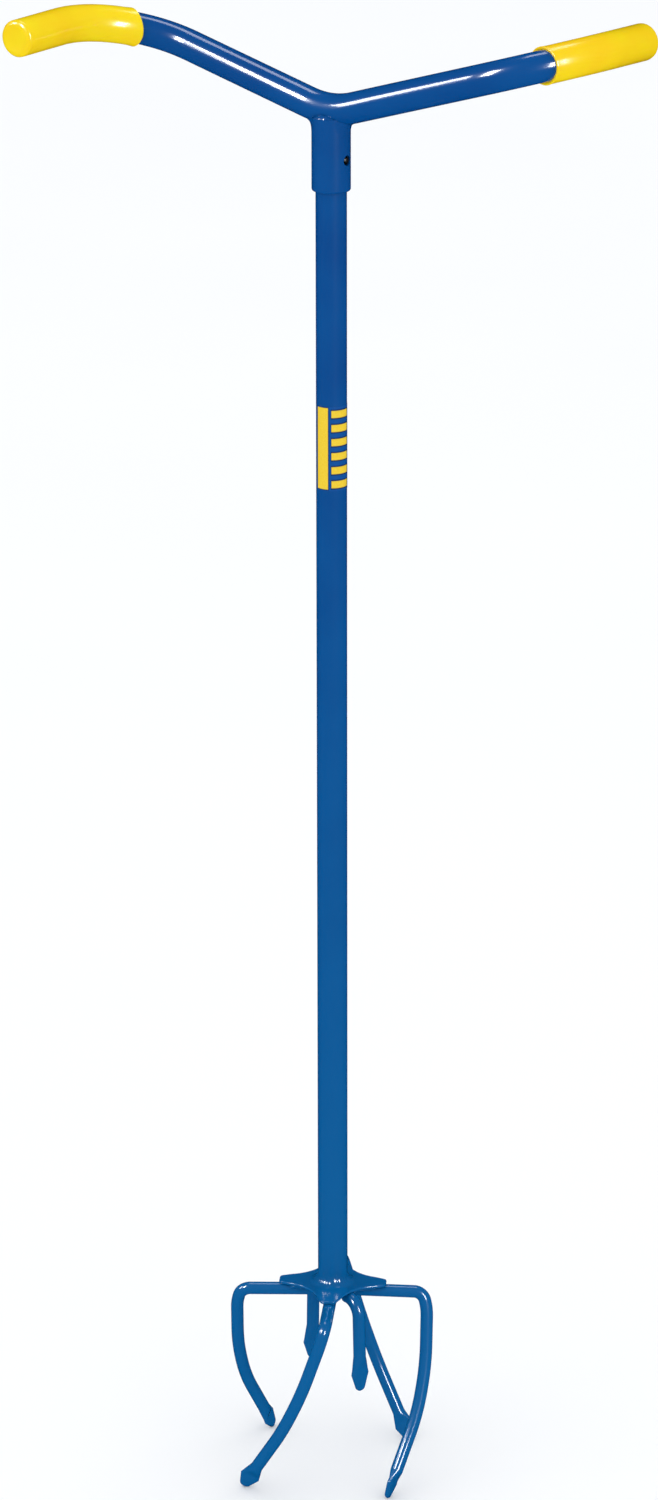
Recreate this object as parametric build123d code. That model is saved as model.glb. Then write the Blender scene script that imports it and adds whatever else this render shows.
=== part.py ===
from build123d import *
import os
from math import cos, hypot, radians, sin, sqrt, tan

# Stand-up hand twist tiller: a swept tube handlebar with dipped grips, a straight tube shaft held
# in a socket by a sprung snap button, and a star plate with six bent rod tines with spade points.
# Millimetres. Origin on the shaft's axis at the level of the tips of the long tines, +Z up the
# shaft, +X along the handlebar's wider reach, -Y towards the side where the button shows.
# Heights below are measured from the middle of the tines' blunt tips until the last lines, which
# set the lowest points at 0.

# Handlebar: one tube, the same turned half a turn about the shaft
bar_od = 20.0
bar_wall = 1.5
arm_length = 171.5          # centre of the V to the corner of a grip bend
arm_heading = -33.0         # degrees from +X, seen from above
arm_rise = 16.5             # degrees above the horizontal
# Corner of each grip bend to the tube's end
grip_lengths = {"grip_right": 98.0, "grip_left": 102.0}
grip_heading = 54.6
grip_rise = -1.3
grip_bend_radius = 62.2     # of the tube's centre line
vee_radius = 60.0           # of the tube's centre line

# Dipped grips
grip_wall = 1.9
grip_end_wall = 2.6
grip_end_round = 2.4
# Degrees into the bend of each mouth's middle, and of the direction that its face looks along
grip_mouths = {"grip_right": (41.5, 71.0), "grip_left": (38.0, 66.0)}

# Shaft and the socket that receives it
shaft_od = 20.0
shaft_wall = 1.5
shaft_length = 792.7
socket_wall = 2.25
socket_clearance = 0.25     # radial, between the shaft and the socket's bore
socket_skirt = 42.5         # length of the socket below the handlebar's underside
socket_lip = 5.0            # how far the socket's top laps up beside the handlebar
shaft_end_gap = 2.7         # between the shaft's top and the handlebar
socket_end_round = 1.6

# Weld round the top of the socket
socket_weld_drop = 6.2      # from the handlebar's underside down to the weld's edge on the socket
socket_weld_rise = 7.8      # from the handlebar's underside up to the weld's edge on the handlebar
socket_weld_reach = 4.5     # past the socket, along the handlebar
socket_weld_edge = 0.15     # the weld's thickness where it runs out on the socket

# Snap button and its leaf spring
button_drop = 21.8          # below the handlebar's underside
button_heading = -35.0      # degrees from +X
button_diameter = 6.2
button_clearance = 0.3      # radial, in both holes
button_proud = 0.3          # out of the socket's outer face, at the crown
button_flange_diameter = 8.4
button_flange_thickness = 1.0
spring_width = 5.0
spring_thickness = 0.6
spring_length = 46.0        # button's axis to the fold

# Wrapped label
label_height = 56.0
label_drop = 189.1          # from the corner of the V to the label's top
label_thickness = 0.15
label_start = -152.0        # degrees from +X
label_sweep = 205.0

# Claw
rod_diameter = 8.5
claw_depth = 128.2          # tips of the long tines to their horizontal runs' centre line
plate_thickness = 2.0
plate_heading = -5.5        # degrees, of the first lobe from +X
lobe_count = 4
lobe_reach = 36.3
lobe_tip_half = 4.5
lobe_shoulder = 28.5
lobe_shoulder_half = 7.8
waist_radius = 21.6
plate_corner = 1.6
shaft_weld_reach = 6.0
shaft_weld_height = 7.5
rod_end_gap = 0.9           # between the inner ends of the two closest rods
tine_weld_start = 20.5
tine_weld_length = 9.0
tine_weld_leg = 1.6
short_weld_setback = 0.7    # from a short rod's inner end
short_weld_margin = 0.6     # inside the plate's hollow edge
short_weld_leg = 1.2

# Long tines: each wraps clockwise round the axis as it goes down
tine_headings = {"right": -5.5, "front": -94.7, "left": -180.9, "back": -276.7}
tine_offsets = {"right": 0.0, "front": 3.4, "left": 0.8, "back": -6.8}   # added to every reach
tine_reach = 61.3           # to the centre line of the leg
tine_bend_radius = 7.9
# Where the leg's runs meet: share of the way down, degrees round the axis, and reach
tine_corners = ((0.085, 2.6, 64.4), (0.37, 12.8, 66.2), (0.605, 24.5, 66.0))
tine_twist = 52.8           # degrees round the axis, at the tip
tine_tip_reach = 68.9
spade_length = 20.5
spade_half_width = 6.9
spade_half_thickness = 1.6
spade_shoulder = 0.5        # share of the spade's length where it is widest
spade_tip_half_width = 2.4
spade_turns = {"right": 20.0, "front": 38.0, "left": 20.0, "back": 38.0}   # from facing outward

# Short tines
short_headings = {"inner_front": -54.0, "inner_back": 116.5}
short_run = 13.7            # rod's inner end to the corner of its bend
short_splay = 2.0           # how much further out the tip is than that corner
short_bend_radius = 11.5
short_tip_drop = 68.5       # below the plate's underside
short_spade_length = 25.0
short_spade_turn = 0.0

plate_base = claw_depth + rod_diameter / 2
plate_top = plate_base + plate_thickness
shaft_top = plate_top + shaft_length
bar_underside = shaft_top + shaft_end_gap
# The bend at the V lifts the tube's centre line above the corner where the arms' lines meet
vee_lift = vee_radius * (1 / cos(radians(arm_rise)) - 1)
bar_height = bar_underside + bar_od / 2 - vee_lift
socket_bottom = bar_underside - socket_skirt
button_height = bar_underside - button_drop
socket_bore = shaft_od / 2 + socket_clearance
socket_radius = socket_bore + socket_wall

rod_turns = sorted(turn % 360 for turn in [*tine_headings.values(), *short_headings.values()])
closest_turn = min((after - turn) % 360 for turn, after in zip(rod_turns, rod_turns[1:] + rod_turns[:1]))
# From the shaft's axis to every rod's inner end
rod_start = (rod_diameter + rod_end_gap) / 2 / tan(radians(closest_turn / 2))
short_reach = rod_start + short_run
short_weld_start = rod_start + short_weld_setback
short_weld_length = waist_radius - short_weld_margin - short_weld_start


def heading(azimuth, rise=0.0):
    """Unit vector at an azimuth from +X and a rise above the horizontal, in degrees."""
    level = cos(radians(rise))
    return Vector(level * cos(radians(azimuth)), level * sin(radians(azimuth)), sin(radians(rise)))


def polar(radius, azimuth, height):
    """Point at a radius and azimuth round the shaft's axis."""
    return Vector(radius * cos(radians(azimuth)), radius * sin(radians(azimuth)), height)


def across(path):
    """Plane at the start of a path, square to it."""
    return Plane(origin=path @ 0, z_dir=path % 0)


def rod_along(path, radius):
    """Solid round bar along a path."""
    return sweep(across(path) * Circle(radius), path=path)


def tube_along(path, radius, wall):
    """Hollow tube along a path."""
    return sweep(across(path) * (Circle(radius) - Circle(radius - wall)), path=path)


def half_turn(shape):
    """The same shape turned half a turn about the shaft's axis."""
    return Rot(0, 0, 180) * shape


# ---------------------------------------------------------------- handlebar and grips

vee = Vector(0, 0, bar_height)
right_corner = vee + heading(arm_heading, arm_rise) * arm_length


def bar_end(side):
    """Middle of the tube's end inside a grip, before the left one's half turn."""
    return right_corner + heading(grip_heading, grip_rise) * grip_lengths[side]


def bar_path():
    """Centre line of the handlebar, end to end."""
    left = [Vector(-p.X, -p.Y, p.Z) for p in (right_corner, bar_end("grip_left"))]
    corners = [bar_end("grip_right"), right_corner, vee, *left]
    return FilletPolyline(*corners, radius=[grip_bend_radius, vee_radius, grip_bend_radius])


def grip_path(side):
    """Centre line from half way along the arm, round the bend, to the tube's end."""
    arm_middle = vee + heading(arm_heading, arm_rise) * arm_length / 2
    return FilletPolyline(arm_middle, right_corner, bar_end(side), radius=[grip_bend_radius])


def make_handlebar():
    return tube_along(bar_path(), bar_od / 2, bar_wall)


def make_bar_envelope():
    return rod_along(bar_path(), bar_od / 2)


def bend_frame(place, face):
    """Plane with its middle on the grip bend, at one angle into it, and square to another."""
    out = heading(arm_heading, arm_rise)
    turned = heading(grip_heading, grip_rise)
    inward = (turned - out * turned.dot(out)).normalized()
    tangent_length = grip_bend_radius * tan(radians(out.get_angle(turned) / 2))
    start = right_corner - out * tangent_length
    along = out * sin(radians(place)) + inward * (1 - cos(radians(place)))
    facing = out * cos(radians(face)) + inward * sin(radians(face))
    return Plane(origin=start + along * grip_bend_radius, z_dir=facing)


def make_grip(side):
    """Dipped sleeve with a closed, rounded end and a flat cut at its mouth, made on the right."""
    radius = bar_od / 2 + grip_wall
    cap = Pos(0, 0, grip_end_wall / 2) * Cylinder(radius, grip_end_wall)
    cap = fillet(cap.edges().sort_by(Axis.Z)[-1], grip_end_round)
    cap = Plane(origin=bar_end(side), z_dir=heading(grip_heading, grip_rise)) * cap
    room = 2 * (arm_length + grip_lengths[side])
    dipped = bend_frame(*grip_mouths[side]) * Pos(0, 0, room / 2) * Box(room, room, room)
    sleeve = (rod_along(grip_path(side), radius) & dipped) + cap
    return sleeve - rod_along(grip_path(side), bar_od / 2)


# ---------------------------------------------------------------- socket, shaft and label


def make_socket(bar_envelope):
    """Tube coped to the handlebar, open at the bottom, with the button's hole through one wall."""
    height = socket_skirt + socket_lip
    middle = socket_bottom + height / 2
    body = Pos(0, 0, middle) * Cylinder(socket_radius, height)
    body = fillet(body.edges().sort_by(Axis.Z)[0], socket_end_round)
    body -= Pos(0, 0, middle) * Cylinder(socket_bore, height)
    return body - bar_envelope - button_hole(2 * socket_radius)


def button_hole(length):
    """Radial drill from the shaft's axis out through one side."""
    face = Plane(origin=(0, 0, button_height), z_dir=heading(button_heading))
    return face * Pos(0, 0, length / 2) * Cylinder(button_diameter / 2 + button_clearance, length)


def make_socket_weld(bar_envelope):
    """Fillet of weld that blends the socket into the handlebar, widest along the handlebar."""
    low = Plane(origin=(0, 0, bar_underside - socket_weld_drop))
    high = Plane(origin=(0, 0, bar_underside + socket_weld_rise), x_dir=heading(arm_heading))
    flare = loft([
        low * Circle(socket_radius + socket_weld_edge),
        high * Ellipse(socket_radius + socket_weld_reach, bar_od / 2 + socket_weld_edge),
    ])
    height = socket_weld_drop + socket_lip
    socket_room = Pos(0, 0, bar_underside - socket_weld_drop + height / 2) * Cylinder(socket_radius, height)
    return flare - socket_room - bar_envelope


def make_shaft():
    middle = plate_top + shaft_length / 2
    tube = Cylinder(shaft_od / 2, shaft_length) - Cylinder(shaft_od / 2 - shaft_wall, shaft_length)
    return Pos(0, 0, middle) * tube - button_hole(shaft_od)


def make_label():
    """Thin vinyl band that wraps part of the way round the shaft."""
    middle = bar_height - label_drop - label_height / 2
    radius = shaft_od / 2
    section = make_face(Polyline(
        (radius, -label_height / 2),
        (radius + label_thickness, -label_height / 2),
        (radius + label_thickness, label_height / 2),
        (radius, label_height / 2),
        close=True,
    ))
    band = revolve(Plane.XZ * section, axis=Axis.Z, revolution_arc=label_sweep)
    return Pos(0, 0, middle) * Rot(0, 0, label_start) * band


# ---------------------------------------------------------------- snap button and its spring

bore_radius = shaft_od / 2 - shaft_wall
flange_seat = sqrt(bore_radius**2 - (button_flange_diameter / 2)**2) - 0.05


def make_button():
    """Domed pin with a flange that stops against the inside of the shaft."""
    crown = socket_radius + button_proud
    pin_base = flange_seat - button_flange_thickness
    pin = Pos(0, 0, (crown + pin_base) / 2) * Cylinder(button_diameter / 2, crown - pin_base)
    pin = fillet(pin.edges().sort_by(Axis.Z)[-1], button_diameter * 0.36)
    flange = Pos(0, 0, flange_seat - button_flange_thickness / 2) * Cylinder(
        button_flange_diameter / 2, button_flange_thickness
    )
    return Plane(origin=(0, 0, button_height), z_dir=heading(button_heading)) * (pin + flange)


def make_spring():
    """V of leaf steel: one limb under the button, a fold, the other against the far wall."""
    limb_room = sqrt(bore_radius**2 - (spring_width / 2)**2) - 0.1
    button_side = flange_seat - button_flange_thickness - spring_thickness / 2
    far_side = -limb_room + spring_thickness / 2
    fold = -spring_length
    line = FilletPolyline(
        (button_side, button_flange_diameter / 2),
        (button_side, -button_flange_diameter / 2),
        (0.5, fold),
        (far_side, -button_flange_diameter / 2),
        (far_side, button_flange_diameter / 2),
        radius=[6.0, 1.6, 6.0],
    )
    strip = trace(line, line_width=spring_thickness)
    leaf = extrude(Plane.XZ * strip, amount=spring_width / 2, both=True)
    return Pos(0, 0, button_height) * Rot(0, 0, button_heading) * leaf


# ---------------------------------------------------------------- claw


def lobe_point(index, out, side):
    """Point on a lobe: distance out along its middle, and distance to its side."""
    turned = plate_heading + index * 360 / lobe_count
    return heading(turned) * out + heading(turned + 90) * side


def make_plate():
    """Star of blunt lobes joined by concave edges."""
    edges = []
    for index in range(lobe_count):
        shoulder_in = lobe_point(index, lobe_shoulder, -lobe_shoulder_half)
        tip_in = lobe_point(index, lobe_reach, -lobe_tip_half)
        tip_out = lobe_point(index, lobe_reach, lobe_tip_half)
        shoulder_out = lobe_point(index, lobe_shoulder, lobe_shoulder_half)
        waist = polar(waist_radius, plate_heading + (index + 0.5) * 360 / lobe_count, 0)
        next_shoulder = lobe_point(index + 1, lobe_shoulder, -lobe_shoulder_half)
        edges.append(Line(shoulder_in, tip_in))
        edges.append(Line(tip_in, tip_out))
        edges.append(Line(tip_out, shoulder_out))
        edges.append(ThreePointArc(shoulder_out, waist, next_shoulder))
    star = make_face(edges)
    corners = [v for v in star.vertices() if hypot(v.X, v.Y) > lobe_reach]
    star = fillet(corners, plate_corner)
    return extrude(Pos(0, 0, plate_base) * star, amount=plate_thickness)


def make_shaft_weld():
    """Concave fillet of weld round the shaft's foot."""
    radius = shaft_od / 2
    outer = radius + shaft_weld_reach
    top = plate_top + shaft_weld_height
    sag = 0.36
    profile = make_face([
        Line((radius, plate_top), (outer, plate_top)),
        ThreePointArc(
            (outer, plate_top),
            (radius + shaft_weld_reach * sag, plate_top + shaft_weld_height * sag),
            (radius, top),
        ),
        Line((radius, top), (radius, plate_top)),
    ])
    return revolve(Plane.XZ * profile, axis=Axis.Z)


def turn_between(before, corner, after):
    """Angle in degrees by which a route turns at a corner."""
    return (corner - before).get_angle(after - corner)


def soft_radii(points):
    """Radius for each corner: 0.45 of the shorter run over the tangent of half the turn."""
    radii = []
    for before, corner, after in zip(points, points[1:], points[2:]):
        run = min((corner - before).length, (after - corner).length)
        radii.append(0.45 * run / tan(radians(turn_between(before, corner, after) / 2)))
    return radii


def long_tine_points(azimuth, offset):
    """Corners of a long tine's centre line down to where its spade begins, and its tip."""
    points = [polar(rod_start, azimuth, claw_depth), polar(tine_reach + offset, azimuth, claw_depth)]
    points += [
        polar(reach + offset, azimuth - twist, claw_depth * (1 - share))
        for share, twist, reach in tine_corners
    ]
    tip = polar(tine_tip_reach + offset, azimuth - tine_twist, 0)
    spade_base = tip + (points[-1] - tip).normalized() * spade_length
    return points + [spade_base], tip


def short_tine_points(azimuth):
    """Corners of a short tine's centre line down to where its spade begins, and its tip."""
    tip = polar(short_reach + short_splay, azimuth, plate_base - short_tip_drop)
    corner = polar(short_reach, azimuth, claw_depth)
    spade_base = tip + (corner - tip).normalized() * short_spade_length
    return [polar(rod_start, azimuth, claw_depth), corner, spade_base], tip


def make_spade(base, tip, turn):
    """Flattened point: spreads from the round rod to its shoulders, then closes to a blunt tip."""
    axis = (tip - base).normalized()
    outward = Vector(base.X, base.Y, 0).normalized()
    level = axis.cross(outward).normalized()
    wide = level * cos(radians(turn)) + level.cross(axis) * sin(radians(turn))
    frame = Plane(origin=base, x_dir=wide, z_dir=axis)
    length = (tip - base).length
    round_end = spade_tip_half_width
    stations = [
        (0.0, rod_diameter / 2, rod_diameter / 2),
        (spade_shoulder, spade_half_width, spade_half_thickness),
        (1 - round_end / length, round_end * 1.2, spade_half_thickness * 0.85),
        (1 - round_end / length * 0.3, round_end * 0.85, spade_half_thickness * 0.6),
        (1.0, round_end * 0.3, spade_half_thickness * 0.3),
    ]
    sections = [
        frame.offset(length * share) * Ellipse(wide_half, thin_half)
        for share, wide_half, thin_half in stations
    ]
    return loft(sections, ruled=True)


def make_tine(points, tip, first_radius, turn):
    """One bent rod with its spade, as a single solid."""
    radii = [first_radius] + soft_radii(points[1:])
    path = FilletPolyline(*points, radius=radii)
    return rod_along(path, rod_diameter / 2) + make_spade(points[-1], tip, turn)


def make_tine_weld(azimuth, start, length, leg):
    """Two fillets of weld, one in each corner between a rod and the plate."""
    half = rod_diameter / 2
    foot = half + leg
    blank = make_face(Polyline(
        (-foot, 0),
        (foot, 0),
        (half * 0.9, -half - leg * 0.4),
        (-half * 0.9, -half - leg * 0.4),
        close=True,
    ))
    blank -= Pos(0, -half) * Circle(half)
    blank &= Pos(0, -half / 2) * Rectangle(2 * foot, half)
    section = Plane(
        origin=polar(start, azimuth, plate_base),
        x_dir=heading(azimuth + 90),
        z_dir=heading(azimuth),
    )
    return extrude(section * blank, amount=length)


# ---------------------------------------------------------------- assemble and write the parts

envelope = make_bar_envelope()

nodes = {
    "handlebar_tube": make_handlebar(),
    "grip_right": make_grip("grip_right"),
    "grip_left": half_turn(make_grip("grip_left")),
    "handle_socket": make_socket(envelope),
    "socket_weld": make_socket_weld(envelope),
    "shaft_tube": make_shaft(),
    "shaft_label": make_label(),
    "snap_button": make_button(),
    "button_spring": make_spring(),
    "star_plate": make_plate(),
    "shaft_weld": make_shaft_weld(),
}

for name, azimuth in tine_headings.items():
    corners, point = long_tine_points(azimuth, tine_offsets[name])
    nodes[f"tine_{name}"] = make_tine(corners, point, tine_bend_radius, spade_turns[name])
    nodes[f"weld_{name}"] = make_tine_weld(azimuth, tine_weld_start, tine_weld_length, tine_weld_leg)

for name, azimuth in short_headings.items():
    corners, point = short_tine_points(azimuth)
    nodes[f"tine_{name}"] = make_tine(corners, point, short_bend_radius, short_spade_turn)
    nodes[f"weld_{name}"] = make_tine_weld(azimuth, short_weld_start, short_weld_length, short_weld_leg)

# The long tines' lowest points stand at height 0.
ground = min(nodes[f"tine_{name}"].bounding_box().min.Z for name in tine_headings)

os.makedirs("parts", exist_ok=True)
for name, shape in nodes.items():
    export_step(Pos(0, 0, -ground) * shape, f"parts/{name}.step")
print("handlebar's V above the ground", round(bar_height - ground, 2))
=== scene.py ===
from math import atan2, copysign, cos, pi, radians, sin, sqrt, tan

import bmesh
import bpy
from mathutils import Matrix, Vector


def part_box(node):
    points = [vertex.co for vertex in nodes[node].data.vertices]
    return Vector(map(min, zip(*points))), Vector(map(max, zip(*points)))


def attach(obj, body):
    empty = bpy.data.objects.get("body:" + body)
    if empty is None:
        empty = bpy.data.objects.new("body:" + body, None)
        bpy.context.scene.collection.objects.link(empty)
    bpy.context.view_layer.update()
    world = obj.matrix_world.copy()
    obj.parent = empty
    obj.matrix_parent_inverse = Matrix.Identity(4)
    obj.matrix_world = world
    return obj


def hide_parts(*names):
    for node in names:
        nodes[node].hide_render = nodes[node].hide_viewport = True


# Stand-up hand twist tiller: powder-coated steel with dip-moulded grips. Metres, in the frame of the
# solid model. The fixed sizes below are the maker's, and every height comes from the solid model.

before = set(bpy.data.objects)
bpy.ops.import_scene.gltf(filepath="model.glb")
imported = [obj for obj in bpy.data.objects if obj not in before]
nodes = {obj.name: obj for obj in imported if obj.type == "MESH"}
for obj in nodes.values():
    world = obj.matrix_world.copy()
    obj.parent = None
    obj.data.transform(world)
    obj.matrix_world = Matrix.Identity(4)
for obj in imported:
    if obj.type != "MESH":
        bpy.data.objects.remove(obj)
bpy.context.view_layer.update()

MM = 0.001
SKIN_GAP = 0.02 * MM        # keeps a laid surface clear of the metal under it

# ------------------------------------------------------------------ sizes

BAR_RADIUS = 10.0 * MM
ARM_LENGTH = 171.5 * MM
ARM_HEADING, ARM_RISE = -33.0, 16.5
GRIP_LENGTHS = {"right": 98.0 * MM, "left": 102.0 * MM}
GRIP_HEADING, GRIP_RISE = 54.6, -1.3
GRIP_BEND = 62.2 * MM
VEE_BEND = 60.0 * MM
GRIP_WALL = 1.9 * MM
GRIP_MOUTHS = {"right": (41.5, 71.0), "left": (38.0, 66.0)}

SHAFT_RADIUS = 10.0 * MM
SHAFT_END_GAP = 2.7 * MM
SOCKET_RADIUS = 12.5 * MM
BUTTON_HEADING = -35.0

ROD_RADIUS = 4.25 * MM
CLAW_DEPTH = 128.2 * MM
ROD_START = 15.8 * MM
TINE_HEADINGS = {"right": -5.5, "front": -94.7, "left": -180.9, "back": -276.7}
TINE_OFFSETS = {"right": 0.0, "front": 3.4 * MM, "left": 0.8 * MM, "back": -6.8 * MM}
TINE_REACH = 61.3 * MM
TINE_BEND = 7.9 * MM
TINE_CORNERS = ((0.085, 2.6, 64.4 * MM), (0.37, 12.8, 66.2 * MM), (0.605, 24.5, 66.0 * MM))
TINE_TWIST = 52.8
TINE_TIP_REACH = 68.9 * MM
SPADE_LENGTH = 20.5 * MM
SPADE_TURNS = {"right": 20.0, "front": 38.0, "left": 20.0, "back": 38.0}
SPADE_HALF_WIDTH = 6.9 * MM
SPADE_HALF_THICKNESS = 1.6 * MM
SPADE_TIP_HALF = 2.4 * MM
SPADE_SHOULDER = 0.5

SHORT_HEADINGS = {"inner_front": -54.0, "inner_back": 116.5}
SHORT_REACH = 29.5 * MM
SHORT_TIP_REACH = 31.5 * MM
SHORT_BEND = 11.5 * MM
SHORT_DROP = 68.5 * MM
SHORT_SPADE_LENGTH = 25.0 * MM

# Weld beads under the plate: where they start, how far they run, and a scallop's half width
LONG_BEADS = (20.5 * MM, 9.0 * MM, 1.6 * MM)
SHORT_BEADS = (16.5 * MM, 4.5 * MM, 1.2 * MM)

PLATE_HEADING = -5.5
LOBES = 4
LOBE_REACH = 36.3 * MM
LOBE_TIP_HALF = 4.5 * MM
LOBE_SHOULDER = 28.5 * MM
LOBE_SHOULDER_HALF = 7.8 * MM
WAIST_RADIUS = 21.6 * MM

LABEL_START, LABEL_SWEEP = -152.0, 205.0

# Heights, from the solid model
SHAFT_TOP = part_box("shaft_tube")[1].z
BAR_UNDERSIDE = SHAFT_TOP + SHAFT_END_GAP
VEE_LIFT = VEE_BEND * (1 / cos(radians(ARM_RISE)) - 1)      # of the bend above the arms' corner
VEE = Vector((0, 0, BAR_UNDERSIDE + BAR_RADIUS - VEE_LIFT))
ROD_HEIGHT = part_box("tine_right")[1].z - ROD_RADIUS
TIP_HEIGHT = ROD_HEIGHT - CLAW_DEPTH
PLATE_LOW, PLATE_HIGH = (corner.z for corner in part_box("star_plate"))
BUTTON_LOW, BUTTON_HIGH = (corner.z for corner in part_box("snap_button"))
LABEL_LOW, LABEL_HIGH = (corner.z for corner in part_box("shaft_label"))


def heading(azimuth, rise=0.0):
    """Unit vector at an azimuth from +X and a rise above the horizontal, in degrees."""
    level = cos(radians(rise))
    return Vector((level * cos(radians(azimuth)), level * sin(radians(azimuth)), sin(radians(rise))))


def polar(radius, azimuth, height):
    """Point at a radius and azimuth round the shaft's axis."""
    return Vector((radius * cos(radians(azimuth)), radius * sin(radians(azimuth)), height))


# ------------------------------------------------------------------ nodes and colours


def linear(hex_colour):
    """sRGB hex colour as linear RGBA."""
    channels = [int(hex_colour[i:i + 2], 16) / 255 for i in (1, 3, 5)]
    return [c / 12.92 if c <= 0.04045 else ((c + 0.055) / 1.055) ** 2.4 for c in channels] + [1.0]


def add(tree, kind, values=None, links=None, **settings):
    """Add a node with its settings, its input values and the links into it."""
    made = tree.nodes.new(kind)
    for name, value in settings.items():
        setattr(made, name, value)
    for socket, value in (values or {}).items():
        made.inputs[socket].default_value = value
    for socket, source in (links or {}).items():
        tree.links.new(source, made.inputs[socket])
    return made


def new_material(name):
    """Empty node material with its output node."""
    material = bpy.data.materials.new(name)
    material.use_nodes = True
    material.node_tree.nodes.clear()
    return material, material.node_tree


def finish_material(tree, shader):
    add(tree, "ShaderNodeOutputMaterial", links={"Surface": shader.outputs["BSDF"]})


def per(size):
    """Noise scale whose features are about this size, on coordinates in metres."""
    return 1.0 / size


# ------------------------------------------------------------------ materials

# Heights between which painted light turns the blue from deep to pale, lighter towards the bottom
NO_PAINTED_LIGHT_ABOVE, FULL_PAINTED_LIGHT_BELOW = 0.75, 0.1


def powder_coated_steel():
    """Gloss polyester powder on steel: flows out smooth but for a faint orange peel, so highlights
    stay sharp with slightly wavy edges. The film thins in broad patches, and painted light makes
    the blue paler and greener towards the claw."""
    material, tree = new_material("powder_coated_steel")
    place = add(tree, "ShaderNodeTexCoord").outputs["Object"]
    patches = add(tree, "ShaderNodeTexNoise", {"Scale": per(60 * MM), "Detail": 3.0}, {"Vector": place})
    colour = add(tree, "ShaderNodeValToRGB", links={"Fac": patches.outputs["Fac"]})
    colour.color_ramp.elements[0].position = 0.3
    colour.color_ramp.elements[0].color = linear("#00468c")
    colour.color_ramp.elements[1].position = 0.7
    colour.color_ramp.elements[1].color = linear("#005298")
    # Painted light: the blue is mixed paler and greener towards the bottom by height, in place of the
    # light there
    height = add(tree, "ShaderNodeSeparateXYZ", links={"Vector": place}).outputs["Z"]
    low = add(
        tree, "ShaderNodeMapRange", {"From Min": NO_PAINTED_LIGHT_ABOVE, "From Max": FULL_PAINTED_LIGHT_BELOW}, {"Value": height}
    )
    # Random patches of tone, with the painted light by height laid over them
    patches_and_painted_light = add(
        tree,
        "ShaderNodeMix",
        {"B": linear("#005f9c")},
        {"Factor": low.outputs["Result"], "A": colour.outputs["Color"]},
        data_type="RGBA",
    )
    peel = add(tree, "ShaderNodeTexNoise", {"Scale": per(2.2 * MM), "Detail": 1.0}, {"Vector": place})
    grain = add(tree, "ShaderNodeTexNoise", {"Scale": per(0.5 * MM), "Detail": 2.0}, {"Vector": place})
    rough = add(
        tree, "ShaderNodeMapRange", {"To Min": 0.14, "To Max": 0.22}, {"Value": grain.outputs["Fac"]}
    )
    peel_bump = add(
        tree, "ShaderNodeBump", {"Strength": 0.05, "Distance": 0.1 * MM}, {"Height": peel.outputs["Fac"]}
    )
    shader = add(
        tree,
        "ShaderNodeBsdfPrincipled",
        {"Metallic": 0.0, "IOR": 1.5, "Coat Weight": 0.5, "Coat Roughness": 0.05},
        {
            "Base Color": patches_and_painted_light.outputs["Result"],
            "Roughness": rough.outputs["Result"],
            "Normal": peel_bump.outputs["Normal"],
        },
    )
    finish_material(tree, shader)
    return material


def dipped_vinyl():
    """Plastisol cured on the hot tube: a glossy, faintly translucent skin with soft sags and a
    little grain, deeper yellow where it gathers."""
    material, tree = new_material("dipped_vinyl")
    place = add(tree, "ShaderNodeTexCoord").outputs["Object"]
    sags = add(tree, "ShaderNodeTexNoise", {"Scale": per(35 * MM), "Detail": 2.0}, {"Vector": place})
    colour = add(tree, "ShaderNodeValToRGB", links={"Fac": sags.outputs["Fac"]})
    colour.color_ramp.elements[0].position = 0.25
    colour.color_ramp.elements[0].color = linear("#ffcc00")
    colour.color_ramp.elements[1].position = 0.7
    colour.color_ramp.elements[1].color = linear("#ffe000")
    skin = add(tree, "ShaderNodeTexNoise", {"Scale": per(6 * MM), "Detail": 2.0}, {"Vector": place})
    grain = add(tree, "ShaderNodeTexNoise", {"Scale": per(0.7 * MM), "Detail": 2.0}, {"Vector": place})
    rough = add(
        tree, "ShaderNodeMapRange", {"To Min": 0.18, "To Max": 0.28}, {"Value": grain.outputs["Fac"]}
    )
    bump = add(
        tree, "ShaderNodeBump", {"Strength": 0.08, "Distance": 0.2 * MM}, {"Height": skin.outputs["Fac"]}
    )
    shader = add(
        tree,
        "ShaderNodeBsdfPrincipled",
        {
            "IOR": 1.53,
            "Coat Weight": 0.3,
            "Coat Roughness": 0.08,
            "Subsurface Weight": 0.15,
            "Subsurface Radius": (2.0 * MM, 1.2 * MM, 0.3 * MM),
            "Subsurface Scale": 1.0,
        },
        {
            "Base Color": colour.outputs["Color"],
            "Roughness": rough.outputs["Result"],
            "Normal": bump.outputs["Normal"],
        },
    )
    finish_material(tree, shader)
    return material


def blackened_steel():
    """Oil-blackened turned steel: near black, with the crown rubbed bright where it slides."""
    material, tree = new_material("blackened_steel")
    place = add(tree, "ShaderNodeTexCoord").outputs["Object"]
    flat = add(tree, "ShaderNodeVectorMath", {1: (1, 1, 0)}, {0: place}, operation="MULTIPLY")
    out = add(tree, "ShaderNodeVectorMath", links={0: flat.outputs[0]}, operation="LENGTH")
    worn = add(
        tree,
        "ShaderNodeMapRange",
        {"From Min": SOCKET_RADIUS - 0.3 * MM, "From Max": SOCKET_RADIUS + 0.4 * MM},
        {"Value": out.outputs["Value"]},
    )
    marks = add(tree, "ShaderNodeTexNoise", {"Scale": per(0.4 * MM), "Detail": 3.0}, {"Vector": place})
    colour = add(
        tree,
        "ShaderNodeMix",
        {"A": linear("#131419"), "B": linear("#b9bcc2")},
        {"Factor": worn.outputs["Result"]},
        data_type="RGBA",
    )
    rough = add(
        tree, "ShaderNodeMapRange", {"To Min": 0.2, "To Max": 0.4}, {"Value": marks.outputs["Fac"]}
    )
    shader = add(
        tree,
        "ShaderNodeBsdfPrincipled",
        {"Metallic": 1.0},
        {"Base Color": colour.outputs["Result"], "Roughness": rough.outputs["Result"]},
    )
    finish_material(tree, shader)
    return material


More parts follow.
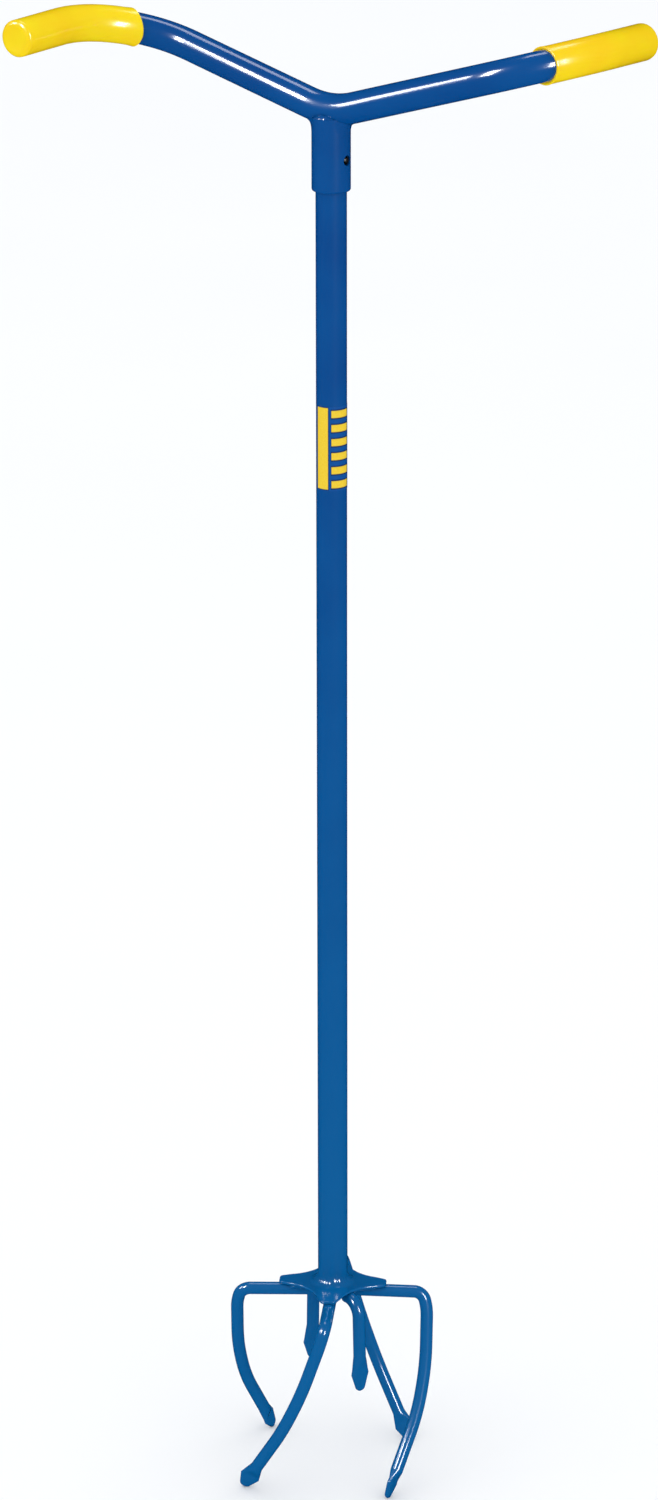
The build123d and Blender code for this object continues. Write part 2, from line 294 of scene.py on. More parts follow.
def spring_steel():
    """Tempered leaf: grey metal with fine scratches along its length and a straw heat tint."""
    material, tree = new_material("spring_steel")
    place = add(tree, "ShaderNodeTexCoord").outputs["Object"]
    stretched = add(tree, "ShaderNodeMapping", {"Scale": (1.0, 1.0, 0.05)}, {"Vector": place})
    scratches = add(
        tree, "ShaderNodeTexNoise", {"Scale": per(0.3 * MM)}, {"Vector": stretched.outputs["Vector"]}
    )
    colour = add(tree, "ShaderNodeValToRGB", links={"Fac": scratches.outputs["Fac"]})
    colour.color_ramp.elements[0].color = linear("#8b857a")
    colour.color_ramp.elements[1].color = linear("#b4b4b6")
    rough = add(
        tree, "ShaderNodeMapRange", {"To Min": 0.22, "To Max": 0.38}, {"Value": scratches.outputs["Fac"]}
    )
    shader = add(
        tree,
        "ShaderNodeBsdfPrincipled",
        {"Metallic": 1.0},
        {"Base Color": colour.outputs["Color"], "Roughness": rough.outputs["Result"]},
    )
    finish_material(tree, shader)
    return material


def band(tree, value, low, high, soft=0.004):
    """1 between two values of a coordinate, 0 outside, with a soft printed edge."""
    rise = add(tree, "ShaderNodeMapRange", {1: low - soft, 2: low + soft}, {0: value})
    fall = add(tree, "ShaderNodeMapRange", {1: high - soft, 2: high + soft}, {0: value})
    both = {0: rise.outputs[0], 1: fall.outputs[0]}
    return add(tree, "ShaderNodeMath", links=both, operation="SUBTRACT").outputs[0]


def both_of(tree, first, second):
    """Product of two masks."""
    return add(tree, "ShaderNodeMath", links={0: first, 1: second}, operation="MULTIPLY").outputs[0]


def mixed(tree, mask, under, over):
    """One colour laid over another where the mask is 1. A colour is a socket or a hex value."""
    made = add(tree, "ShaderNodeMix", links={0: mask}, data_type="RGBA")
    for socket, colour in ((6, under), (7, over)):
        if isinstance(colour, str):
            made.inputs[socket].default_value = linear(colour)
        else:
            tree.links.new(colour, made.inputs[socket])
    return made.outputs[2]


def printed_film():
    """Gloss vinyl film printed in three inks: a plain yellow panel with a dark edge, and a ladder
    of plain yellow bars, on the tool's blue."""
    material, tree = new_material("printed_film")
    place = add(tree, "ShaderNodeUVMap", uv_map="label").outputs["UV"]
    split = add(tree, "ShaderNodeSeparateXYZ", links={0: place})
    round_way, up = split.outputs["X"], split.outputs["Y"]
    panel = both_of(tree, band(tree, round_way, 0.01, 0.238), band(tree, up, 0.02, 0.985))
    panel_edge = both_of(tree, band(tree, round_way, 0.0, 0.25), band(tree, up, 0.01, 0.995))
    rung = add(tree, "ShaderNodeMath", {1: 6.0}, {0: up}, operation="MULTIPLY")
    rung = add(tree, "ShaderNodeMath", links={0: rung.outputs[0]}, operation="FRACT").outputs[0]
    ladder = both_of(tree, band(tree, round_way, 0.30, 0.66), band(tree, rung, 0.22, 0.72, 0.03))
    ladder_edge = both_of(tree, band(tree, round_way, 0.29, 0.67), band(tree, rung, 0.13, 0.81, 0.03))
    ink = add(
        tree,
        "ShaderNodeTexNoise",
        {"Scale": per(0.8 * MM), "Detail": 2.0},
        {"Vector": add(tree, "ShaderNodeTexCoord").outputs["Object"]},
    )
    yellow = mixed(tree, ink.outputs["Fac"], "#eec21c", "#fbdc45")
    colour = mixed(tree, panel_edge, "#04509c", "#0b2a52")
    colour = mixed(tree, ladder_edge, colour, "#0b2a52")
    colour = mixed(tree, panel, colour, yellow)
    colour = mixed(tree, ladder, colour, yellow)
    bump = add(
        tree, "ShaderNodeBump", {"Strength": 0.05, "Distance": 0.05 * MM}, {"Height": ink.outputs["Fac"]}
    )
    shader = add(
        tree,
        "ShaderNodeBsdfPrincipled",
        {"Roughness": 0.2, "IOR": 1.5, "Coat Weight": 0.4, "Coat Roughness": 0.06},
        {"Base Color": colour, "Normal": bump.outputs["Normal"]},
    )
    finish_material(tree, shader)
    return material


def studio_floor():
    """Matt white paper sweep, with only the faintest mottle."""
    material, tree = new_material("studio_paper")
    place = add(tree, "ShaderNodeTexCoord").outputs["Object"]
    mottle = add(tree, "ShaderNodeTexNoise", {"Scale": per(0.8)}, {"Vector": place})
    colour = add(tree, "ShaderNodeValToRGB", links={"Fac": mottle.outputs["Fac"]})
    colour.color_ramp.elements[0].color = linear("#f4f4f3")
    colour.color_ramp.elements[1].color = linear("#f8f8f8")
    shader = add(
        tree, "ShaderNodeBsdfPrincipled", {"Roughness": 0.9}, {"Base Color": colour.outputs["Color"]}
    )
    finish_material(tree, shader)
    return material


coat = powder_coated_steel()
vinyl = dipped_vinyl()
black_steel = blackened_steel()
leaf_steel = spring_steel()
film = printed_film()

# ------------------------------------------------------------------ Geometry Nodes trees


def new_tree(name, inputs):
    """Geometry Nodes tree with a geometry input and output, and other named inputs."""
    tree = bpy.data.node_groups.new(name, "GeometryNodeTree")
    tree.interface.new_socket("Line", in_out="INPUT", socket_type="NodeSocketGeometry")
    for label, kind in inputs.items():
        tree.interface.new_socket(label, in_out="INPUT", socket_type="NodeSocket" + kind)
    tree.interface.new_socket("Solid", in_out="OUTPUT", socket_type="NodeSocketGeometry")
    return tree, add(tree, "NodeGroupInput").outputs


def close_tree(tree, geometry, material):
    """Smooth shading, real geometry and one material, then out."""
    smooth = add(tree, "GeometryNodeSetShadeSmooth", links={"Geometry": geometry})
    real = add(tree, "GeometryNodeRealizeInstances", links={0: smooth.outputs[0]})
    dressed = add(
        tree, "GeometryNodeSetMaterial", links={"Geometry": real.outputs[0], "Material": material}
    )
    add(tree, "NodeGroupOutput", links={0: dressed.outputs[0]})
    return tree


def bent_rod_tree():
    """Round bar along a line of straight runs, each corner rounded to its own bend_radius."""
    tree, given = new_tree(
        "bent_rod", {"Radius": "Float", "Sides": "Int", "Bend Steps": "Int", "Material": "Material"}
    )
    line = add(tree, "GeometryNodeMeshToCurve", links={"Mesh": given["Line"]})
    bend = add(tree, "GeometryNodeInputNamedAttribute", {"Name": "bend_radius"})
    rounded = add(
        tree,
        "GeometryNodeFilletCurve",
        links={"Curve": line.outputs[0], "Count": given["Bend Steps"], "Radius": bend.outputs[0]},
        mode="POLY",
    )
    section = add(
        tree,
        "GeometryNodeCurvePrimitiveCircle",
        links={"Resolution": given["Sides"], "Radius": given["Radius"]},
    )
    swept = add(
        tree,
        "GeometryNodeCurveToMesh",
        {"Fill Caps": True},
        {"Curve": rounded.outputs[0], "Profile Curve": section.outputs[0]},
    )
    return close_tree(tree, swept.outputs[0], given["Material"])


def weld_bead_tree():
    """Weld laid along a line: one overlapping scallop for each step of the torch."""
    tree, given = new_tree("weld_bead", {"Pitch": "Float", "Size": "Vector", "Material": "Material"})
    line = add(tree, "GeometryNodeMeshToCurve", links={"Mesh": given["Line"]})
    steps = add(
        tree,
        "GeometryNodeCurveToPoints",
        links={"Curve": line.outputs[0], "Length": given["Pitch"]},
        mode="LENGTH",
    )
    scallop = add(tree, "GeometryNodeMeshUVSphere", {"Segments": 16, "Rings": 10, "Radius": 1.0})
    uneven = add(
        tree, "FunctionNodeRandomValue", {2: 0.9, 3: 1.08, "Seed": 7}, data_type="FLOAT"
    )
    scale = add(
        tree,
        "ShaderNodeVectorMath",
        links={"Vector": given["Size"], "Scale": uneven.outputs[1]},
        operation="SCALE",
    )
    placed = add(
        tree,
        "GeometryNodeInstanceOnPoints",
        links={
            "Points": steps.outputs["Points"],
            "Instance": scallop.outputs[0],
            "Rotation": steps.outputs["Rotation"],
            "Scale": scale.outputs[0],
        },
    )
    return close_tree(tree, placed.outputs[0], given["Material"])


def line_mesh(points, bends=None):
    """Line of straight runs, with the bend radius of each of its points."""
    mesh = bpy.data.meshes.new("line")
    edges = [(i, i + 1) for i in range(len(points) - 1)]
    mesh.from_pydata([tuple(p) for p in points], edges, [])
    attribute = mesh.attributes.new("bend_radius", "FLOAT", "POINT")
    attribute.data.foreach_set("value", bends or [0.0] * len(points))
    return mesh


def grown(tree, mesh, inputs):
    """Plain mesh that a tree makes from a line."""
    host = bpy.data.objects.new("host", mesh)
    bpy.context.collection.objects.link(host)
    modifier = host.modifiers.new("shape", "NODES")
    modifier.node_group = tree
    for item in tree.interface.items_tree:
        if item.in_out == "INPUT" and item.name in inputs:
            modifier[item.identifier] = inputs[item.name]
    evaluated = host.evaluated_get(bpy.context.evaluated_depsgraph_get())
    made = bpy.data.meshes.new_from_object(evaluated)
    bpy.data.objects.remove(host)
    return made


bent_rod = bent_rod_tree()
weld_bead = weld_bead_tree()

# ------------------------------------------------------------------ mesh helpers


def put(name, mesh, material, replaced, body="tiller", crease=50.0):
    """Make a piece from a mesh with its material, hang it on its body and hide the parts it stands for.
    """
    mesh.name = name
    mesh.materials.clear()
    mesh.materials.append(material)
    mesh.shade_smooth()
    mesh.set_sharp_from_angle(angle=radians(crease))
    piece = bpy.data.objects.new(name, mesh)
    bpy.context.collection.objects.link(piece)
    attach(piece, body)
    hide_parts(*replaced)
    return piece


def outward(bm):
    """Point every face outwards."""
    bmesh.ops.recalc_face_normals(bm, faces=bm.faces)


def to_mesh(bm, name):
    mesh = bpy.data.meshes.new(name)
    bm.to_mesh(mesh)
    bm.free()
    return mesh


def rings_mesh(name, rings, closed_tube=False):
    """Skin over rings of points, capped at both ends or joined last to first."""
    bm = bmesh.new()
    laid = [[bm.verts.new(p) for p in ring] for ring in rings]
    count = len(laid[0])
    pairs = list(zip(laid, laid[1:]))
    if closed_tube:
        pairs.append((laid[-1], laid[0]))
    for low, high in pairs:
        for i in range(count):
            j = (i + 1) % count
            bm.faces.new((low[i], low[j], high[j], high[i]))
    if not closed_tube:
        bm.faces.new(laid[0])
        bm.faces.new(laid[-1])
    outward(bm)
    return to_mesh(bm, name)


def lathe(name, profile, at, axis, sides=64):
    """Turned solid: (along, radius) pairs about an axis through a point."""
    across = axis.orthogonal().normalized()
    other = axis.cross(across)
    rings = []
    for along, radius in profile:
        turns = [2 * pi * i / sides for i in range(sides)]
        rings.append(
            [at + axis * along + (across * cos(t) + other * sin(t)) * radius for t in turns]
        )
    return rings_mesh(name, rings)


def end_cap(bm, near):
    """Many-sided cap nearest to a point."""
    caps = [face for face in bm.faces if len(face.verts) > 4]
    return min(caps, key=lambda face: (face.calc_center_median() - near).length)


def grow_cap(bm, cap, ring_at, steps):
    """Draw a cap out through rings. ring_at gives a vertex its place from its angle and the step."""
    for step in steps:
        fresh = bmesh.ops.extrude_discrete_faces(bm, faces=[cap])["faces"][0]
        for index, vert in enumerate(fresh.verts):
            vert.co = ring_at(index, step)
        cap = fresh
    return cap


# ------------------------------------------------------------------ handlebar and grips

BAR_SIDES = 64
BEND_STEPS = 56

right_corner = VEE + heading(ARM_HEADING, ARM_RISE) * ARM_LENGTH


def bar_end(side):
    """Middle of the bar's end inside a grip, before the left one's half turn."""
    return right_corner + heading(GRIP_HEADING, GRIP_RISE) * GRIP_LENGTHS[side]


def half_turned(point):
    """The point half a turn about the shaft's axis."""
    return Vector((-point.x, -point.y, point.z))


def make_handlebar():
    left_run = [half_turned(right_corner), half_turned(bar_end("left"))]
    points = [bar_end("right"), right_corner, VEE, *left_run]
    mesh = line_mesh(points, [0.0, GRIP_BEND, VEE_BEND, GRIP_BEND, 0.0])
    sizes = {"Radius": BAR_RADIUS, "Sides": BAR_SIDES, "Bend Steps": BEND_STEPS, "Material": coat}
    put("handlebar", grown(bent_rod, mesh, sizes), coat, ["handlebar_tube"])


def bend_place(place, face):
    """Point on the right grip bend's centre line, the way the mouth looks, and the bend's middle."""
    out = heading(ARM_HEADING, ARM_RISE)
    turned = heading(GRIP_HEADING, GRIP_RISE)
    inward = (turned - out * turned.dot(out)).normalized()
    tangent = GRIP_BEND * tan(out.angle(turned) / 2)
    start = right_corner - out * tangent
    point = start + (out * sin(radians(place)) + inward * (1 - cos(radians(place)))) * GRIP_BEND
    facing = out * cos(radians(face)) + inward * sin(radians(face))
    return point, facing, start + inward * GRIP_BEND


def spine_point(point, middle, plane_normal):
    """Nearest point of the grip bend's centre line."""
    flat = point - middle
    flat -= plane_normal * flat.dot(plane_normal)
    return middle + flat.normalized() * GRIP_BEND


LIP = ((0.35 * MM, 0.30 * MM), (0.55 * MM, 0.95 * MM), (0.45 * MM, 1.60 * MM), (0.15 * MM, 1.95 * MM))
LIP_SWELL = 0.30 * MM
LIP_REACH = 4.0 * MM


def close_mouth(bm, side):
    """Cut the sleeve at its mouth, swell it a little there and roll its edge onto the bar."""
    point, facing, middle = bend_place(*GRIP_MOUTHS[side])
    plane_normal = heading(ARM_HEADING, ARM_RISE).cross(heading(GRIP_HEADING, GRIP_RISE)).normalized()
    everything = list(bm.verts) + list(bm.edges) + list(bm.faces)
    bmesh.ops.bisect_plane(bm, geom=everything, plane_co=point, plane_no=facing, clear_inner=True)
    for vert in bm.verts:
        depth = (vert.co - point).dot(facing)
        if depth < LIP_REACH:
            out = (vert.co - spine_point(vert.co, middle, plane_normal)).normalized()
            vert.co += out * LIP_SWELL * (1 - depth / LIP_REACH) ** 2
    rim = [edge for edge in bm.edges if edge.is_boundary]
    start = {vert: vert.co.copy() for edge in rim for vert in edge.verts}
    origin = dict(start)
    for forward, inward in LIP:
        fresh = bmesh.ops.extrude_edge_only(bm, edges=rim)["geom"]
        rim = [item for item in fresh if isinstance(item, bmesh.types.BMEdge)]
        moved = {}
        for vert in {v for edge in rim for v in edge.verts}:
            base = min(start, key=lambda old: (old.co - vert.co).length)
            home = origin[base]
            inside = (spine_point(home, middle, plane_normal) - home).normalized()
            vert.co = home - facing * forward + inside * inward
            moved[vert] = home
        start = {vert: vert.co.copy() for vert in moved}
        origin = moved
    bmesh.ops.contextual_create(bm, geom=rim)


END_PROFILE = (
    (0.9, 11.8), (1.6, 11.35), (2.15, 10.6), (2.5, 9.6), (2.6, 8.6), (2.45, 7.7), (2.3, 6.8), (2.25, 3.0)
)


def close_end(bm, middle):
    """Rounded end with a soft raised rim round a shallow dish."""
    axis = heading(GRIP_HEADING, GRIP_RISE)
    cap = end_cap(bm, middle)
    arms = [(vert.co - middle).normalized() for vert in cap.verts]

    def ring_at(index, step):
        along, radius = step
        return middle + axis * along * MM + arms[index] * radius * MM

    grow_cap(bm, cap, ring_at, END_PROFILE)


def make_grip(side):
    """Dip-moulded sleeve round the bend and the end of the bar."""
    arm_middle = VEE + heading(ARM_HEADING, ARM_RISE) * ARM_LENGTH / 2
    mesh = line_mesh([arm_middle, right_corner, bar_end(side)], [0.0, GRIP_BEND, 0.0])
    radius = BAR_RADIUS + GRIP_WALL
    sizes = {"Radius": radius, "Sides": BAR_SIDES, "Bend Steps": BEND_STEPS, "Material": vinyl}
    bm = bmesh.new()
    bm.from_mesh(grown(bent_rod, mesh, sizes))
    close_end(bm, bar_end(side))
    close_mouth(bm, side)
    if side == "left":
        bmesh.ops.rotate(bm, verts=bm.verts, cent=(0, 0, 0), matrix=Matrix.Rotation(pi, 3, "Z"))
    outward(bm)
    put(f"{side}_grip", to_mesh(bm, side), vinyl, [f"grip_{side}"])


# ------------------------------------------------------------------ socket weld, label and button

WELD_SIDES = 72
WELD_STEPS = 9
WELD_REACH = 17.0 * MM      # from the shaft's axis, along the handlebar
WELD_ACROSS = 9.7 * MM
WELD_SIDE_DROP = 6.7 * MM   # below the handlebar's underside, at its sides
WELD_FRONT_RISE = 1.8 * MM  # above it, at front and back
WELD_BOW = 0.85             # how far up the curve's middle point is
WELD_ROOT = 2.0 * MM        # how deep the weld goes into the socket
WELD_TUCK = 0.4 * MM
WELD_TOP_GAP = 0.05 * MM    # keeps the weld's upper edge clear of the bar's surface
WELD_RIPPLE, WELD_RIPPLES = 0.12 * MM, 17


def bar_surface(along, across):
    """Height of the handlebar's lower surface over a point beside the shaft's axis."""
    rise = radians(ARM_RISE)
    half_vee = VEE_BEND * sin(rise)
    if abs(along) < half_vee:
        centre = VEE.z + VEE_BEND / cos(rise) - sqrt(VEE_BEND ** 2 - along ** 2)
    else:
        centre = VEE.z + abs(along) * tan(rise)
    return centre - sqrt(max(BAR_RADIUS ** 2 - across ** 2, 0.0)) / cos(rise)


def make_socket_weld():
    """Fillet that blends the socket up into the handlebar all round."""
    along_way = heading(ARM_HEADING)
    across_way = heading(ARM_HEADING + 90)
    foot = SOCKET_RADIUS + SKIN_GAP
    rings = []
    for step in range(WELD_STEPS + 3):
        ring = []
        for i in range(WELD_SIDES):
            turn = 2 * pi * i / WELD_SIDES
            front = sin(turn) ** 2
            ripple = WELD_RIPPLE * sin(WELD_RIPPLES * turn) * sin(pi * min(step / WELD_STEPS, 1))
            low = BAR_UNDERSIDE - WELD_SIDE_DROP * (1 - front) + WELD_FRONT_RISE * front
            reach = (WELD_REACH * cos(turn), WELD_ACROSS * sin(turn))
            high = bar_surface(*reach) - WELD_TOP_GAP
            t = min(step / WELD_STEPS, 1.0)
            a, b, c = (1 - t) ** 2, 2 * t * (1 - t), t * t
            along = foot * cos(turn) * (a + b) + reach[0] * c
            across = foot * sin(turn) * (a + b) + reach[1] * c
            height = low * a + (low + (high - low) * WELD_BOW) * b + high * c
            if step > WELD_STEPS:
                inner = SOCKET_RADIUS - WELD_ROOT
                along, across = inner * cos(turn), inner * sin(turn)
                height = high + WELD_TUCK if step == WELD_STEPS + 1 else low
            spread = 1 + ripple / SOCKET_RADIUS
            level = (along_way * along + across_way * across) * spread
            ring.append(level + Vector((0, 0, height)))
        rings.append(ring)
    mesh = rings_mesh("weld", rings, closed_tube=True)
    put("socket_fillet", mesh, coat, ["socket_weld"], crease=60.0)


LABEL_THICKNESS = 0.15 * MM
LABEL_COLUMNS = 72
LABEL_CORNER = 2.0 * MM


def make_label():
    """Film wrapped part of the way round the shaft, with rounded corners and its own UV map."""
    bm = bmesh.new()
    layer = bm.loops.layers.uv.new("label")
    height = LABEL_HIGH - LABEL_LOW
    width = radians(LABEL_SWEEP) * SHAFT_RADIUS
    corner = LABEL_CORNER
    columns = []
    for i in range(LABEL_COLUMNS + 1):
        share = i / LABEL_COLUMNS
        from_side = min(share, 1 - share) * width
        cut = 0.0
        if from_side < corner:
            cut = corner - sqrt(corner ** 2 - (corner - from_side) ** 2)
        column = []
        azimuth = LABEL_START + share * LABEL_SWEEP
        for depth in (SKIN_GAP, LABEL_THICKNESS):
            for level in (LABEL_LOW + cut, LABEL_HIGH - cut):
                vert = bm.verts.new(polar(SHAFT_RADIUS + depth, azimuth, level))
                column.append((vert, (share, (level - LABEL_LOW) / height)))
        columns.append(column)

    def face(*corners):
        made = bm.faces.new([vert for vert, _ in corners])
        for loop, (_, uv) in zip(made.loops, corners):
            loop[layer].uv = uv

    for (a_low, a_high, b_low, b_high), (c_low, c_high, d_low, d_high) in zip(columns, columns[1:]):
        face(b_low, d_low, d_high, b_high)
        face(a_low, a_high, c_high, c_low)
        face(a_low, c_low, d_low, b_low)
        face(a_high, b_high, d_high, c_high)
    for a_low, a_high, b_low, b_high in (columns[0], columns[-1]):
        face(a_low, b_low, b_high, a_high)
    outward(bm)
    put("label_film", to_mesh(bm, "label"), film, ["shaft_label"])


PIN_RADIUS = 3.1 * MM
PIN_PROUD = 0.3 * MM        # of the socket
FLANGE_RADIUS, FLANGE_THICKNESS = 4.2 * MM, 1.0 * MM
FLANGE_SEAT = 7.35 * MM     # from the shaft's axis
DOME_HEIGHT, DOME_STEPS = 2.2 * MM, 10


def make_button():
    """Turned pin: flange inside the shaft, then a domed crown that shows in the socket's hole."""
    axis = heading(BUTTON_HEADING)
    height = (BUTTON_LOW + BUTTON_HIGH) / 2
    crown = SOCKET_RADIUS + PIN_PROUD
    profile = [
        (FLANGE_SEAT - FLANGE_THICKNESS, FLANGE_RADIUS),
        (FLANGE_SEAT, FLANGE_RADIUS),
        (FLANGE_SEAT, PIN_RADIUS),
    ]
    for step in range(DOME_STEPS + 1):
        turn = pi / 2 * step / DOME_STEPS
        profile.append((crown - DOME_HEIGHT * (1 - sin(turn)), max(PIN_RADIUS * cos(turn), SKIN_GAP)))
    mesh = lathe("button", profile, Vector((0, 0, height)), axis, 48)
    put("button_pin", mesh, black_steel, ["snap_button"], body="button")


# ------------------------------------------------------------------ claw

ROD_SIDES = 40
SPADE_RINGS = 24
HAMMER_SQUARE = 3.2         # how nearly rectangular the forged section is; 2 is an ellipse
SPADE_DRAWN = 0.42          # share of the spade's length over which the rod is flattened
NOSE_FULL = 1.15            # half width where the nose's round begins, over its tip's
NOSE_WIDE, NOSE_THICK = 0.12, 0.3   # shares of width and thickness left at the very tip
NOSE_STEPS = 6
BEND_SHARE = 0.45           # of the shorter run, that a soft bend's tangent takes
ROD_BEND_STEPS = 20


def oval(turn, wide, thin, square):
    """Point of a rounded section between an ellipse and a rectangle."""
    power = 2 / square
    across = copysign(abs(cos(turn)) ** power, cos(turn)) * wide
    through = copysign(abs(sin(turn)) ** power, sin(turn)) * thin
    return across, through


def spade_section(share, length):
    """Half width, half thickness and squareness of the spade at a share of its length."""
    if share < SPADE_SHOULDER:
        wide = ROD_RADIUS + (SPADE_HALF_WIDTH - ROD_RADIUS) * share / SPADE_SHOULDER
    else:
        past = (share - SPADE_SHOULDER) / (1 - SPADE_SHOULDER)
        wide = SPADE_HALF_WIDTH + (SPADE_TIP_HALF * NOSE_FULL - SPADE_HALF_WIDTH) * past
    drawn = min(share / SPADE_DRAWN, 1.0)
    drawn = drawn * drawn * (3 - 2 * drawn)
    thin = ROD_RADIUS + (SPADE_HALF_THICKNESS - ROD_RADIUS) * drawn
    nose = SPADE_TIP_HALF / length
    if share > 1 - nose:
        rounding = sqrt(1 - ((share - 1 + nose) / nose) ** 2)
        wide *= max(rounding, NOSE_WIDE)
        thin *= max(rounding, NOSE_THICK)
    return wide, thin, 2 + (HAMMER_SQUARE - 2) * drawn


def forge_spade(bm, base, tip, turn):
    """Draw the rod's end out into a flattened point."""
    axis = (tip - base).normalized()
    level = axis.cross(Vector((base.x, base.y, 0)).normalized()).normalized()
    wide_way = level * cos(radians(turn)) + level.cross(axis) * sin(radians(turn))
    thin_way = axis.cross(wide_way)
    length = (tip - base).length
    cap = end_cap(bm, base)
    turns = [atan2((v.co - base).dot(thin_way), (v.co - base).dot(wide_way)) for v in cap.verts]

    def ring_at(index, share):
        across, through = oval(turns[index], *spade_section(share, length))
        return base + axis * length * share + wide_way * across + thin_way * through

    nose = SPADE_TIP_HALF / length
    steps = [i / SPADE_RINGS for i in range(1, SPADE_RINGS) if i / SPADE_RINGS < 1 - nose]
    steps += [1 - nose + nose * sin(pi / 2 * i / NOSE_STEPS) for i in range(NOSE_STEPS + 1)]
    grow_cap(bm, cap, ring_at, steps)


def soft_bends(points, first):
    """Bend radius at each point: the first corner's own, then as soft as the runs allow."""
    bends = [0.0, first]
    for before, corner, after in zip(points[1:], points[2:], points[3:]):
        run = min((corner - before).length, (after - corner).length)
        bends.append(BEND_SHARE * run / tan((corner - before).angle(after - corner) / 2))
    return bends + [0.0]


def make_tine(name, points, tip, first_bend, turn):
    """Bent rod with its forged spade."""
    mesh = line_mesh(points, soft_bends(points, first_bend))
    sizes = {"Radius": ROD_RADIUS, "Sides": ROD_SIDES, "Bend Steps": ROD_BEND_STEPS, "Material": coat}
    bm = bmesh.new()
    bm.from_mesh(grown(bent_rod, mesh, sizes))
    forge_spade(bm, points[-1], tip, turn)
    outward(bm)
    put(f"{name}_tine", to_mesh(bm, name), coat, [f"tine_{name}"], crease=42.0)


BEAD_ASIDE = 3.8 * MM       # from the rod's middle
BEAD_FLATNESS = 0.8
BEAD_PITCH = 0.7            # over the scallop's half width


def make_tine_weld(name, azimuth, start_out, length, size):
    """Two beads under the plate, one in each corner between it and the rod."""
    along = heading(azimuth)
    aside = heading(azimuth + 90)
    bm = bmesh.new()
    for side in (-1, 1):
        start = along * (start_out + size) + aside * side * BEAD_ASIDE
        start.z = PLATE_LOW - BEAD_FLATNESS * size
        points = [start, start + along * (length - 2 * size)]
        scallop = (size, size, BEAD_FLATNESS * size)
        sizes = {"Pitch": BEAD_PITCH * size, "Size": scallop, "Material": coat}
        bm.from_mesh(grown(weld_bead, line_mesh(points), sizes))
    put(f"{name}_beads", to_mesh(bm, name), coat, [f"weld_{name}"])


def make_long_tines():
    for name, azimuth in TINE_HEADINGS.items():
        offset = TINE_OFFSETS[name]
        corner = polar(TINE_REACH + offset, azimuth, ROD_HEIGHT)
        points = [polar(ROD_START, azimuth, ROD_HEIGHT), corner]
        for share, twist, reach in TINE_CORNERS:
            points.append(polar(reach + offset, azimuth - twist, ROD_HEIGHT - CLAW_DEPTH * share))
        tip = polar(TINE_TIP_REACH + offset, azimuth - TINE_TWIST, TIP_HEIGHT)
        points.append(tip + (points[-1] - tip).normalized() * SPADE_LENGTH)
        make_tine(name, points, tip, TINE_BEND, SPADE_TURNS[name])
        make_tine_weld(name, azimuth, *LONG_BEADS)


def make_short_tines():
    for name, azimuth in SHORT_HEADINGS.items():
        start = polar(ROD_START, azimuth, ROD_HEIGHT)
        tip = polar(SHORT_TIP_REACH, azimuth, PLATE_LOW - SHORT_DROP)
        corner = polar(SHORT_REACH, azimuth, ROD_HEIGHT)
        base = tip + (corner - tip).normalized() * SHORT_SPADE_LENGTH
        make_tine(name, [start, corner, base], tip, SHORT_BEND, 0.0)
        make_tine_weld(name, azimuth, *SHORT_BEADS)


def circle_through(first, second, third):
    """Centre of the circle through three points of a plane."""
    ax, ay, bx, by, cx, cy = *first.xy, *second.xy, *third.xy
    d = 2 * (ax * (by - cy) + bx * (cy - ay) + cx * (ay - by))
    a2, b2, c2 = ax * ax + ay * ay, bx * bx + by * by, cx * cx + cy * cy
    x = (a2 * (by - cy) + b2 * (cy - ay) + c2 * (ay - by)) / d
    y = (a2 * (cx - bx) + b2 * (ax - cx) + c2 * (bx - ax)) / d
    return Vector((x, y, 0))


def arc_points(first, second, third, steps):
    """Points after the first on the arc through three points."""
    centre = circle_through(first, second, third)
    start, end = first - centre, third - centre
    sweep = start.xy.angle_signed(end.xy)
    return [centre + Matrix.Rotation(-sweep * i / steps, 3, "Z") @ start for i in range(1, steps + 1)]


PLATE_CORNER = 1.6 * MM     # along each edge, at a lobe's corners
PLATE_CORNER_CUT = 0.25
WAIST_STEPS = 16


def plate_outline():
    """Star of blunt lobes joined by hollow edges."""
    outline = []
    for index in range(LOBES):
        turned = PLATE_HEADING + index * 360 / LOBES
        out, aside = heading(turned), heading(turned + 90)
        for side in (-1, 1):
            corner = out * LOBE_REACH + aside * side * LOBE_TIP_HALF
            shoulder = out * LOBE_SHOULDER + aside * side * LOBE_SHOULDER_HALF
            slope = (shoulder - corner).normalized()
            flat = aside * -side
            soft = [
                corner + slope * PLATE_CORNER,
                corner + (slope + flat) * PLATE_CORNER * PLATE_CORNER_CUT,
                corner + flat * PLATE_CORNER,
            ]
            outline += [shoulder] + soft if side < 0 else soft[::-1] + [shoulder]
        after = heading(turned + 360 / LOBES)
        after_aside = heading(turned + 360 / LOBES + 90)
        next_shoulder = after * LOBE_SHOULDER - after_aside * LOBE_SHOULDER_HALF
        waist = polar(WAIST_RADIUS, turned + 180 / LOBES, 0)
        outline += arc_points(outline[-1], waist, next_shoulder, WAIST_STEPS)[:-1]
    return outline


def make_plate():
    """Star plate, sheared from sheet, its edges softened by the coat."""
    outline = plate_outline()
    bm = bmesh.new()
    low = bm.faces.new([bm.verts.new((p.x, p.y, PLATE_LOW)) for p in outline])
    raised = bmesh.ops.extrude_face_region(bm, geom=[low])["geom"]
    for item in raised:
        if isinstance(item, bmesh.types.BMVert):
            item.co.z = PLATE_HIGH
    outward(bm)
    piece = put("plate", to_mesh(bm, "plate"), coat, ["star_plate"], crease=35.0)
    bevel = piece.modifiers.new("soft_edge", "BEVEL")
    bevel.width = 0.6 * MM
    bevel.segments = 3
    bevel.limit_method = "ANGLE"
    bevel.angle_limit = radians(50)


